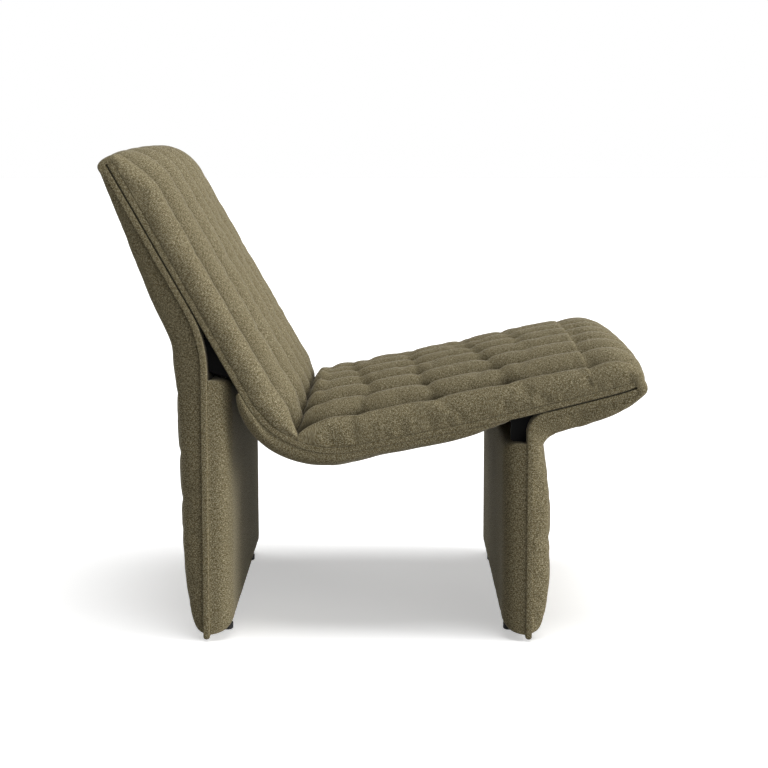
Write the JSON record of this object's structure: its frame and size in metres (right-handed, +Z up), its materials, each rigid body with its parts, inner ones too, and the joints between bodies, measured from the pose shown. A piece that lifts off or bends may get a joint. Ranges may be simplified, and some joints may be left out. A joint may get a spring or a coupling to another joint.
{
  "type": "lounge chair",
  "caption": "Armless upholstered lounge chair with a channelled, quilted seat shell that leans back, carried on wide padded panel legs with small glides.",
  "frame": {"origin": "on the floor, under the middle of the chair's bounding box", "axes": "+X towards the chair's front, +Y to the sitter's left, +Z up"},
  "size_m": [0.8483, 0.68, 0.7671],
  "materials": {
    "fabric": "fine two-tone olive weave",
    "foam": "open-cell foam",
    "plywood": "sanded, uncoated",
    "timber": "planed, uncoated",
    "black_steel": "matt black powder coat",
    "black_bolts": "black oxide",
    "plated_steel": "zinc plated",
    "glide_plastic": "moulded, matt"
  },
  "bodies": {
    "root": {"seat_shell": "plywood", "shell_wrap": "fabric", "back_foam": "foam", "back_quilt": "fabric", "seat_foam": "foam", "seat_quilt": "fabric", "underside_foam": "foam", "underside_cover": "fabric", "rear_leg_panel": "plywood", "rear_leg_wrap": "fabric", "rear_outer_foam": "foam", "rear_outer_quilt": "fabric", "rear_inner_foam": "foam", "rear_inner_cover": "fabric", "front_leg_panel": "plywood", "front_leg_wrap": "fabric", "front_outer_foam": "foam", "front_outer_quilt": "fabric", "front_inner_foam": "foam", "front_inner_cover": "fabric", "rear_foot_rail": "timber", "front_foot_rail": "timber", "rear_rail_screws": "plated_steel", "front_rail_screws": "plated_steel", "rear_bracket_left": "black_steel", "rear_bracket_right": "black_steel", "front_bracket_left": "black_steel", "front_bracket_right": "black_steel", "bracket_bolts": "black_bolts", "bracket_tee_nuts": "plated_steel", "back_bolts": "plated_steel", "back_tee_nuts": "plated_steel", "seat_bolts": "plated_steel", "seat_tee_nuts": "plated_steel", "rear_glides": "glide_plastic", "front_glides": "glide_plastic", "glide_screws": "plated_steel"}
  },
  "joints": []
}
